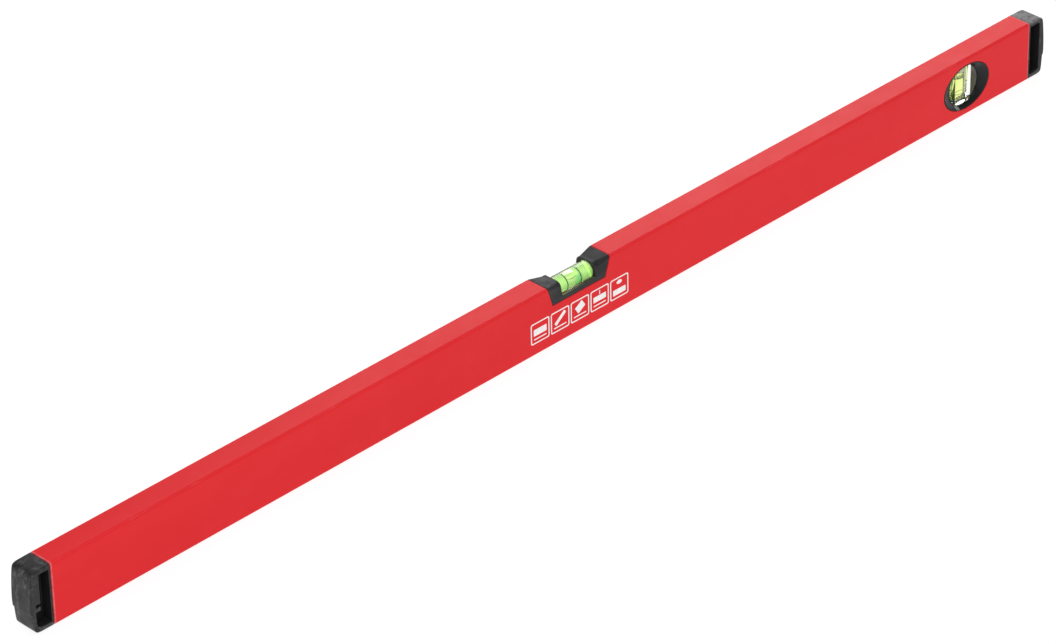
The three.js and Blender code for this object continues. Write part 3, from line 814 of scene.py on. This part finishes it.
def build_turned_pair(verts, faces, material, about_x, names):
    """The piece itself, then a copy turned half round the vertical line at about_x, Y = 0."""
    turned = np.stack([2 * about_x - verts[:, 0], -verts[:, 1], verts[:, 2]], 1)
    for points, (name, node) in zip((verts, turned), names):
        piece(new_object(name, points, faces, [material]), node)


# ---------------------------------------------------------------- end caps

CAP_INSET = 0.4             # the cap stands back from the profile's outside
WEB_HALF = 1.0              # half the wall between the front and back pockets
POCKET_START = CAP_START + 1.6
SPIGOT_GAP = 0.4            # between the spigot and the profile's inside
SPIGOT_LENGTH, SPIGOT_OVERLAP, SPIGOT_WALL = 22.0, 0.6, 2.2


def from_tip(table):
    return [(TIP - inset, z) for inset, z in table]


# Side views of the right cap; the columns are the distance in from its tip and Z.
CAP_LOWER = from_tip([(9.0, 0.4), (5.8, 0.8), (3.9, 1.7), (2.9, 3.4), (2.4, 6.0), (2.0, 10),
                      (1.7, 14), (1.4, 17.4)])
CAP_UPPER = from_tip([(0.25, 18.7), (0, 23), (0, 28), (0.3, 35), (0.8, 42), (1.4, 48),
                      (2.1, 53), (3.0, 55.4), (4.9, 56.8), (8.0, 57.3), (14.0, 57.45)])
CAP_OUTLINE = ([(CAP_START, CAP_INSET)] + smooth_curve(CAP_LOWER)
               + smooth_curve(CAP_UPPER + [(CAP_START, HEIGHT - CAP_INSET)]))
POCKET_PLAIN = [(POCKET_START, 4.4)] + from_tip([
    (9.5, 4.4), (7.8, 5.4), (7.0, 7.4), (7.0, 52.4), (7.6, 53.6)]) + [(POCKET_START, 53.6)]
POCKET_SHELVED = [(POCKET_START, 4.6)] + from_tip([
    (9.4, 4.6), (6.2, 6.0), (5.1, 8.6), (4.7, 12.0), (4.7, 20.2), (9.6, 20.2),
    (9.6, 23.8), (5.0, 23.8), (5.0, 26.8), (9.6, 26.8), (9.6, 53.2)]) + [(POCKET_START, 53.2)]


def cap_field(x, y, z):
    cap = meet(polygon(x, z, CAP_OUTLINE), np.abs(y) - (HALF_WIDTH - CAP_INSET), radius=1.2)
    cap = meet(cap, CAP_START - x, radius=0.35)
    # The plain pocket is at the right cap's front and the shelved one at its back.
    for outline, beyond in ((POCKET_PLAIN, WEB_HALF + y), (POCKET_SHELVED, WEB_HALF - y)):
        cap = cut(cap, meet(polygon(x, z, outline), beyond, radius=0.5), radius=0.4)
    half_y = HALF_WIDTH - WALL_SIDE - SPIGOT_GAP
    half_z = HEIGHT / 2 - WALL_TOP - SPIGOT_GAP
    up = z - HEIGHT / 2
    spigot = cut(rect(y, up, half_y, half_z, radius=1.4),
                 rect(y, up, half_y - SPIGOT_WALL, half_z - SPIGOT_WALL, radius=0.6), radius=0.3)
    ends = np.maximum((CAP_START - SPIGOT_LENGTH) - x, x - (CAP_START + SPIGOT_OVERLAP))
    return np.minimum(cap, meet(spigot, ends, radius=0.4))


def build_end_caps():
    x0, x1, y1, z1 = CAP_START - 22.6, TIP + 0.6, HALF_WIDTH + 0.3, HEIGHT + 0.3
    verts, faces = skin(cap_field, (
        steps(x0, x1, coarse=1.1, fine=0.45,
              zones=[(x0, CAP_START - 20.9), (CAP_START - 0.9, x1)]),
        steps(-y1, y1, coarse=0.95, fine=0.42, zones=[(-y1, -7.9), (-2.0, 2.0), (7.9, y1)]),
        steps(-0.3, z1, coarse=1.0, fine=0.42, zones=[(-0.3, 9.0), (16.4, 28.2), (51.6, z1)])))
    build_turned_pair(verts, faces, CAP_PLASTIC, 0.0, [
        ("end_cap_right", "right_end_cap"), ("end_cap_left", "left_end_cap")])


# ---------------------------------------------------------------- level vial holder

WINDOW_HALF = 19.8          # half length of the open part over the vial
RIM_Z = 44.5                # top of the low walls beside the vial
HOLDER_HALF_WIDTH = 12.1
HOLDER_GAP = 0.3            # to the notch's floor and sloping ends
HOLDER_BOTTOM, HOLDER_TOP = NOTCH_FLOOR + HOLDER_GAP, HEIGHT - 0.1
NOTCH_SLOPE = (NOTCH_HALF_TOP - NOTCH_HALF_FLOOR) / (HEIGHT - NOTCH_FLOOR)
SLOPE_SCALE = 1 / math.sqrt(1 + NOTCH_SLOPE * NOTCH_SLOPE)
HOLDER_HALF_BOTTOM, HOLDER_HALF_TOP = (
    NOTCH_HALF_FLOOR - HOLDER_GAP + NOTCH_SLOPE * (z - NOTCH_FLOOR)
    for z in (HOLDER_BOTTOM, HOLDER_TOP))
HOOD_LOW_Z = 56.2           # the hood's top next to the window
HOOD_FLAT = 3.2             # length of hood that stays at that height
HOOD_ROUND, HOOD_ROUND_LOSS = 5.0, 3.0      # shoulder radius there, and its loss outwards
HOOD_TAPER, HOOD_TAPER_HEIGHT = 1.2, 6.7    # narrowing there, and the height it takes
TONGUE_HALF_X, TONGUE_HALF_Y, TONGUE_BOTTOM, TONGUE_TOP = 30.4, 10.1, 36.4, 41.0
SEAT_RADIUS, SEAT_HALF = LEVEL_RADIUS + 0.25, LEVEL_HALF + 0.3
TROUGH_HALF_WIDTH, TROUGH_FLOOR = 10.5, 41.0


def holder_field(x, y, z):
    along, side = np.abs(x), np.abs(y)
    # Hood: level next to the window, then up to the profile's top, with shoulders that get
    # sharper on the way.
    flat_end = WINDOW_HALF + HOOD_FLAT
    t = np.clip((along - flat_end) / (HOLDER_HALF_TOP - flat_end), 0, 1)
    top = HOOD_LOW_Z + (HOLDER_TOP - HOOD_LOW_Z) * t
    shoulder = HOOD_ROUND - HOOD_ROUND_LOSS * t
    taper = HOOD_TAPER * (1 - t) * np.clip((z - RIM_Z) / HOOD_TAPER_HEIGHT, 0, 1)
    out_y, out_z = side - (HOLDER_HALF_WIDTH - taper) + shoulder, z - top + shoulder
    body = (np.minimum(np.maximum(out_y, out_z), 0)
            + np.hypot(np.maximum(out_y, 0), np.maximum(out_z, 0)) - shoulder)
    slope_x = HOLDER_HALF_BOTTOM + NOTCH_SLOPE * (z - HOLDER_BOTTOM)
    body = meet(body, (along - slope_x) * SLOPE_SCALE, radius=0.4)
    body = meet(body, WINDOW_HALF - along, radius=0.35)
    rim = meet(side - HOLDER_HALF_WIDTH, z - RIM_Z, radius=0.4)
    rim = meet(rim, along - WINDOW_HALF - 0.8, radius=0.2)
    body = meet(np.minimum(body, rim), HOLDER_BOTTOM - z, radius=0.3)
    tongue = box(x, y, z - (TONGUE_BOTTOM + TONGUE_TOP) / 2,
                 (TONGUE_HALF_X, TONGUE_HALF_Y, (TONGUE_TOP - TONGUE_BOTTOM) / 2))
    body = np.minimum(body, tongue)
    # Seat: the upper half round the vial, and straight down from its axis.
    seat = np.maximum(np.hypot(y, z - LEVEL_Z) - SEAT_RADIUS, along - SEAT_HALF)
    under = np.maximum(np.maximum(side - SEAT_RADIUS, z - LEVEL_Z), along - SEAT_HALF)
    trough = np.maximum(np.maximum(along - WINDOW_HALF, side - TROUGH_HALF_WIDTH),
                        TROUGH_FLOOR - z)
    return cut(body, np.minimum(np.minimum(seat, under), trough), radius=0.3)


def build_holder():
    verts, faces = skin(holder_field, (
        steps(-38.2, 38.2, coarse=0.95, fine=0.42,
              zones=[(-38.2, -29.5), (-21.6, -18.4), (18.4, 21.6), (29.5, 38.2)]),
        steps(-12.6, 12.6, coarse=0.42),
        steps(35.8, 58.6, coarse=0.42)))
    piece(new_object("vial_holder", verts, faces, [HOLDER_PLASTIC]),
          "centre_vial_holder")


# ---------------------------------------------------------------- plumb bezels

DISH_DEPTH = 4.3
DISH_POWER = 1.6            # how the dish steepens towards the face
BEZEL_LIP = 0.9             # flat rim round the dish
PORT_RADIUS = 19.0          # round window behind the dish
MATE_GAP = 0.15             # from each bezel's back to Y = 0
BLOCK_GAP = 0.3             # round the vial block
BACK_WALL, PORT_WALL_RADIUS = 1.8, 20.8     # rim and port wall left by the hollow in the back


def bezel_field(x, y, z):
    across, up = x - PLUMB_X, z - PLUMB_Z
    body = meet(ellipse(across, up, BEZEL_HALF_X, BEZEL_HALF_Z), -BEZEL_FACE - y, radius=0.3)
    body = meet(body, y + MATE_GAP, radius=0.2)
    # Dish: from the oval lip at the face to the round port.
    t = np.clip((y + BEZEL_FACE) / DISH_DEPTH, -0.4, 1.0)
    blend = np.where(t < 0, t * DISH_POWER, 1 - (1 - np.clip(t, 0, 1)) ** DISH_POWER)
    half_x = BEZEL_HALF_X - BEZEL_LIP + (PORT_RADIUS - BEZEL_HALF_X + BEZEL_LIP) * blend
    half_z = BEZEL_HALF_Z - BEZEL_LIP + (PORT_RADIUS - BEZEL_HALF_Z + BEZEL_LIP) * blend
    lean = np.where(t < 1.0, 1.0 / math.sqrt(1 + DISH_POWER ** 2), 1.0)
    dish = ellipse(across, up, half_x, half_z) * lean
    radius = np.hypot(across, up)
    seat = np.maximum(np.maximum(np.abs(across) - BLOCK_HALF_X - BLOCK_GAP,
                                 -BLOCK_HALF_Y - BLOCK_GAP - y),
                      np.abs(up) - BLOCK_HALF_Z - BLOCK_GAP)
    # Hollow in the back, between the rim and the port's wall.
    rim = ellipse(across, up, BEZEL_HALF_X - BACK_WALL, BEZEL_HALF_Z - BACK_WALL)
    hollow = np.maximum(np.maximum(rim, PORT_WALL_RADIUS - radius),
                        -(BEZEL_FACE - DISH_DEPTH - 2.0) - y)
    tools = np.minimum(np.minimum(dish, radius - PORT_RADIUS), np.minimum(seat, hollow))
    return cut(body, tools, radius=0.35)


def build_bezels():
    face_y = -BEZEL_FACE
    verts, faces = skin(bezel_field, (
        steps(PLUMB_X - BEZEL_HALF_X - 0.4, PLUMB_X + BEZEL_HALF_X + 0.4, coarse=0.6),
        steps(face_y - 0.3, 0.25, coarse=0.45, fine=0.3,
              zones=[(face_y - 0.3, face_y + 1.5), (face_y + 3.6, face_y + 5.2), (-0.6, 0.25)]),
        steps(PLUMB_Z - BEZEL_HALF_Z - 0.4, PLUMB_Z + BEZEL_HALF_Z + 0.4, coarse=0.58)))
    build_turned_pair(verts, faces, BEZEL_PLASTIC, PLUMB_X, [
        ("plumb_bezel_front", "plumb_front_bezel"), ("plumb_bezel_rear", "plumb_rear_bezel")])


# ---------------------------------------------------------------- vials

# half is half the length, wall the closed end's thickness, plug the plug's length and sag how
# much the bore narrows towards its ends. Upright vials have local +X pointing up.
Vial = namedtuple("Vial", "prefix half wall plug sag centre upright liquid")
LEVEL_VIAL = Vial("centre", LEVEL_HALF, 2.4, 2.4, 0.06, (0, 0, LEVEL_Z), False, LEVEL_LIQUID)
PLUMB_VIAL = Vial("plumb", BLOCK_HALF_Z, 5.0, 7.6, 0.0, (PLUMB_X, 0, PLUMB_Z), True,
                  PLUMB_LIQUID)
BORE_END_ROUND = 1.2
MARK_INNER, MARK_OUTER = 5.31, 5.43         # radii of the printed bands
# Object, node, vial, axis it is placed along, half width.
MARKS = [
    ("level_mark_left", "centre_mark_left", LEVEL_VIAL, 0, 0.55),
    ("level_mark_right", "centre_mark_right", LEVEL_VIAL, 0, 0.55),
    ("plumb_mark_top", "plumb_mark_upper", PLUMB_VIAL, 2, 0.22),
    ("plumb_mark_bottom", "plumb_mark_lower", PLUMB_VIAL, 2, 0.22),
]


def turned_part(name, profile, vial, materials, segments=96, sharp=50):
    """A body of revolution about the vial's axis, and the ring number of each face."""
    points, faces, ring_of = lathe(profile, segments)
    if vial.upright:                      # local +Z points to -X
        points = np.stack([-points[:, 2], points[:, 1], points[:, 0]], 1)
    points = points + np.array(vial.centre)
    return new_object(name, points, outward(points, faces), materials, sharp=sharp), ring_of


def bore_curve(start, end, sag, parts=12):
    """Slightly barrel-shaped bore from start down to end, with a rounded closed end."""
    out = []
    for i in range(parts + 1):
        t = i / parts
        out.append((start + (end + BORE_END_ROUND - start) * t,
                    BORE_RADIUS - sag * (2 * t - 1) ** 2))
    radius = out[-1][1]
    for degrees in (30, 60, 85):
        angle = math.radians(degrees)
        out.append((end + BORE_END_ROUND * (1 - math.sin(angle)),
                    radius - BORE_END_ROUND * (1 - math.cos(angle))))
    return out + [(end, 0)]


def build_plug_and_liquid(vial):
    start, end, radius = vial.half - vial.plug, vial.half - 0.1, BORE_RADIUS - 0.12
    outline = rounded([(start, 0), (start, radius), (end, radius), (end, 0)], 0.3)
    obj, _ = turned_part(f"{vial.prefix}_plug", outline, vial, [PLUG_PLASTIC], segments=64)
    piece(obj, f"{vial.prefix}_vial_plug")
    gap = 0.15                            # to the closed end and the plug
    start, end = -vial.half + vial.wall + gap, vial.half - vial.plug - gap
    outline = rounded([(start, 0), (start, LIQUID_RADIUS), (end, LIQUID_RADIUS), (end, 0)],
                      radius=1.1, parts=4)
    obj, _ = turned_part(f"{vial.prefix}_liquid", outline, vial, [vial.liquid])
    piece(obj, f"{vial.prefix}_vial_liquid")


def build_round_vial(vial):
    half = vial.half
    outer = rounded([(-half, 0), (-half, LEVEL_RADIUS), (half, LEVEL_RADIUS),
                     (half, BORE_RADIUS)], radius=0.6)[:-1]
    bore = bore_curve(half - 0.25, -half + vial.wall, vial.sag)
    obj, ring_of = turned_part(f"{vial.prefix}_barrel", outer + [(half, BORE_RADIUS + 0.25)] + bore,
                               vial, [BARREL_ACRYLIC, BORE_WALL])
    # The bore's first ring has this number, as the point on the axis isn't a ring.
    bore_ring = len(outer)
    obj.data.polygons.foreach_set("material_index", [int(k >= bore_ring) for k in ring_of])
    piece(obj, f"{vial.prefix}_vial_body")
    build_plug_and_liquid(vial)


def build_block_vial(vial):
    bm = bmesh.new()
    half = np.array((BLOCK_HALF_X, BLOCK_HALF_Y, vial.half)) * MM
    corners = [bm.verts.new((sx * half[0], sy * half[1], sz * half[2]))
               for sx in (-1, 1) for sy in (-1, 1) for sz in (-1, 1)]
    for quad in ((0, 1, 3, 2), (4, 6, 7, 5), (0, 4, 5, 1), (2, 3, 7, 6), (0, 2, 6, 4),
                 (1, 5, 7, 3)):
        bm.faces.new([corners[i] for i in quad])
    bmesh.ops.recalc_face_normals(bm, faces=bm.faces)
    bmesh.ops.bevel(bm, geom=list(bm.edges), offset=0.45 * MM, segments=3, profile=0.5,
                    affect="EDGES")
    bmesh.ops.translate(bm, verts=bm.verts, vec=Vector(vial.centre) * MM)
    mesh = bpy.data.meshes.new(f"{vial.prefix}_block")
    bm.to_mesh(mesh)
    bm.free()
    mesh.materials.append(BLOCK_ACRYLIC)
    obj = bpy.data.objects.new(f"{vial.prefix}_block", mesh)
    bpy.context.scene.collection.objects.link(obj)
    # The tool starts above the block's open end.
    bore = [(vial.half + 1, 0), (vial.half + 1, BORE_RADIUS), (vial.half + 0.02, BORE_RADIUS)]
    bore += bore_curve(vial.half - 0.1, -vial.half + vial.wall, vial.sag)
    tool, _ = turned_part("bore", bore, vial, [BORE_WALL], sharp=None)
    carve(obj, tool, transfer=True)
    shade(obj.data, sharp=22)
    piece(obj, f"{vial.prefix}_vial_body")
    build_plug_and_liquid(vial)


def build_marks():
    """Printed bands just inside the bores' walls."""
    for name, node, vial, axis, half in MARKS:
        at = float(centre_mm(node)[axis]) - vial.centre[axis]
        ring = [(at - half, MARK_INNER), (at - half, MARK_OUTER),
                (at + half, MARK_OUTER), (at + half, MARK_INNER)]
        obj, _ = turned_part(name, ring, vial, [MARK_INK])
        piece(obj, node)


# ---------------------------------------------------------------- bubbles

BUBBLE_HALF = (7.0, 3.9, 2.5)           # level bubble's half sizes
BUBBLE_SLOPE = (49.0, 15.2, 6.25)       # close to their squares, for the distance's scale
BUBBLE_RISE = 2.55                      # its height above the vial's axis


def level_bubble_field(x, y, z):
    def length(scale):
        return np.sqrt((x / scale[0]) ** 2 + (y / scale[1]) ** 2
                       + ((z - BUBBLE_RISE) / scale[2]) ** 2)

    level = length(BUBBLE_HALF)
    egg = level * (level - 1) / np.maximum(length(BUBBLE_SLOPE), 1e-6)
    vial_radius = 5.05
    return meet(egg, np.hypot(y, z) - vial_radius, radius=0.5)


def plumb_bubble_field(x, y, z):
    bubble_radius, depth = 4.95, 5.6
    return meet(meet(np.hypot(x, y) - bubble_radius, z, radius=2.0), -depth - z, radius=1.5)


def build_bubble(name, node, field, grid, offset):
    verts, faces = skin(field, grid)
    piece(new_object(name, verts + np.array(offset), faces, [AIR]), node, body=node)


def build_bubbles():
    build_bubble("level_bubble", "centre_bubble", level_bubble_field, (
        steps(-7.4, 7.4, coarse=0.35), steps(-4.2, 4.2, coarse=0.3),
        steps(-0.4, 5.6, coarse=0.3)), (centre_mm("centre_bubble")[0], 0, LEVEL_Z))
    side = steps(-5.4, 5.4, coarse=0.35)
    build_bubble("plumb_air_bubble", "plumb_bubble", plumb_bubble_field,
                 (side, side, steps(-6.1, 0.5, coarse=0.35)),
                 (PLUMB_X, 0, float(box_mm("plumb_bubble")[1][2])))


# ---------------------------------------------------------------- pictograms

ICON_PITCH, ICON_SHIFT, FRAME_Z = 23.6, 0.4, 21.9
ICON_X = [(k - 2) * ICON_PITCH + ICON_SHIFT for k in range(5)]
# Half width, half height, corner radius.
FRAME_OUTER, FRAME_INNER = (10.9, 10.1, 2.0), (9.75, 8.95, 1.2)
# Icon number, shift in X, Z, half width, half height, corner radius, turn in degrees.
ICON_BARS = [
    (0, 0, 22.6, 7.5, 3.1, 0.5, 0), (0, 0, 16.2, 7.3, 0.55, 0.3, 0),
    (1, 0.2, 23.8, 7.4, 1.75, 0.6, 38), (1, 0, 16.2, 7.3, 0.55, 0.3, 0),
    (2, 0.2, 23.9, 4.9, 3.7, 0.5, 33), (2, 0, 16.2, 7.3, 0.55, 0.3, 0),
    (3, 0, 22.2, 7.5, 2.7, 0.4, 0), (3, 0, 27.6, 0.5, 2.0, 0.3, 0),
    (3, 0, 16.2, 7.3, 0.55, 0.3, 0), (4, 0, 18.2, 7.5, 2.7, 0.4, 0),
]
PRINT_RAISE, PRINT_SINK = 0.07, 0.02    # out of and into the profile's front


def build_pictograms():
    shapes = [[rounded_rect(x, FRAME_Z, *FRAME_OUTER), rounded_rect(x, FRAME_Z, *FRAME_INNER)]
              for x in ICON_X]
    for k, shift, z, half_x, half_z, radius, turn in ICON_BARS:
        shapes.append([rounded_rect(ICON_X[k] + shift, z, half_x, half_z, radius, turn=turn)])
    shapes.append([ellipse_outline(ICON_X[4], z=27.2, half_x=3.2, half_z=1.9, parts=28)])
    verts, faces = [], []
    for outlines in shapes:
        more_verts, more_faces = prism(outlines, -HALF_WIDTH - PRINT_RAISE,
                                       -HALF_WIDTH + PRINT_SINK, axis=1)
        faces += [tuple(len(verts) + i for i in face) for face in more_faces]
        verts += more_verts
    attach(new_object("pictograms", verts, faces, [PRINT], smooth=False), BODY)


# ---------------------------------------------------------------- stage, in metres

FLOOR_HALF, FLOOR_Z = 40.0, -0.0004


def build_floor():
    mesh = bpy.data.meshes.new("floor")
    mesh.from_pydata([(sx * FLOOR_HALF, sy * FLOOR_HALF, FLOOR_Z)
                      for sx, sy in ((-1, -1), (1, -1), (1, 1), (-1, 1))], [], [(0, 1, 2, 3)])
    floor = bpy.data.objects.new("floor", mesh)
    bpy.context.scene.collection.objects.link(floor)
    mat = new_material("pale_floor")
    cloud = mat.ramp(mat.noise(mat.position(), scale=3.0, detail=2.0), lo=0.3, hi=0.7)
    base = mat.mix(cloud, under=(0.19, 0.19, 0.19), over=(0.21, 0.21, 0.21))
    mesh.materials.append(mat.finish_principled(
        Base_Color=base, Roughness=0.9, Specular_IOR_Level=0.0,
        Emission_Color=(1, 1, 1), Emission_Strength=0.88))


def build_world():
    """White to the camera and through clear parts, dimmer as a light."""
    world = bpy.data.worlds.new("studio")
    bpy.context.scene.world = world
    graph = Graph(world, "OutputWorld")
    lighting = graph.node("Background", Color=(1, 1, 1), Strength=0.52)
    backdrop = graph.node("Background", Color=(1, 1, 1), Strength=1.0)
    rays = graph.node("LightPath").outputs
    seen = graph.math("MAXIMUM", rays["Is Camera Ray"], rays["Is Transmission Ray"])
    seen = graph.math("MAXIMUM", seen, rays["Is Singular Ray"])
    mix = graph.node("MixShader", seen, lighting.outputs[0], backdrop.outputs[0])
    graph.finish(mix.outputs[0])


def build_light(name, place, target, size, power):
    light = bpy.data.lights.new(name, "AREA")
    light.shape = "RECTANGLE"
    light.size, light.size_y = size
    light.energy = power
    light.color = (1, 1, 1)
    obj = bpy.data.objects.new(name, light)
    obj.location = place
    obj.rotation_mode = "QUATERNION"
    obj.rotation_quaternion = (Vector(target) - Vector(place)).to_track_quat("-Z", "Y")
    obj.visible_camera = False
    bpy.context.scene.collection.objects.link(obj)


def build_camera():
    data = bpy.data.cameras.new("camera")
    camera = bpy.data.objects.new("camera", data)
    bpy.context.scene.collection.objects.link(camera)
    bpy.context.scene.camera = camera
    data.sensor_width = 36.0
    data.lens = 176.25
    data.clip_start, data.clip_end = 0.05, 200.0
    right = Vector((0.7050567436161904, -0.708942429138735, -0.017193616495762676))
    down = Vector((-0.3909355765438835, -0.36833581781756053, -0.8435034678677795))
    forward = Vector((0.5916623727039223, 0.601439404661466, -0.5368484695394283))
    turn = Matrix((right, -down, -forward)).transposed().to_4x4()
    camera.matrix_world = Matrix.Translation((-2.5870932, -2.5803151, 2.3294326)) @ turn


# ---------------------------------------------------------------- build

build_profile()
build_end_caps()
build_holder()
build_bezels()
build_round_vial(LEVEL_VIAL)
build_block_vial(PLUMB_VIAL)
build_marks()
build_bubbles()
build_pictograms()

view = bpy.context.scene.view_settings
view.view_transform = "Standard"
view.look = "None"
view.exposure = 0.0
view.gamma = 1.0
build_floor()
build_world()
build_light("key", place=(-1.6, -2.2, 3.0), target=(0, 0, 0), size=(2.6, 2.6), power=40)
build_light("back", place=(2.0, 1.5, 1.5), target=(0.2, 0, 0), size=(1.6, 1.3), power=21)
build_light("top", place=(-0.1, 0.5, 4.0), target=(0, 0.1, 0), size=(2.4, 2.0), power=21)
build_camera()
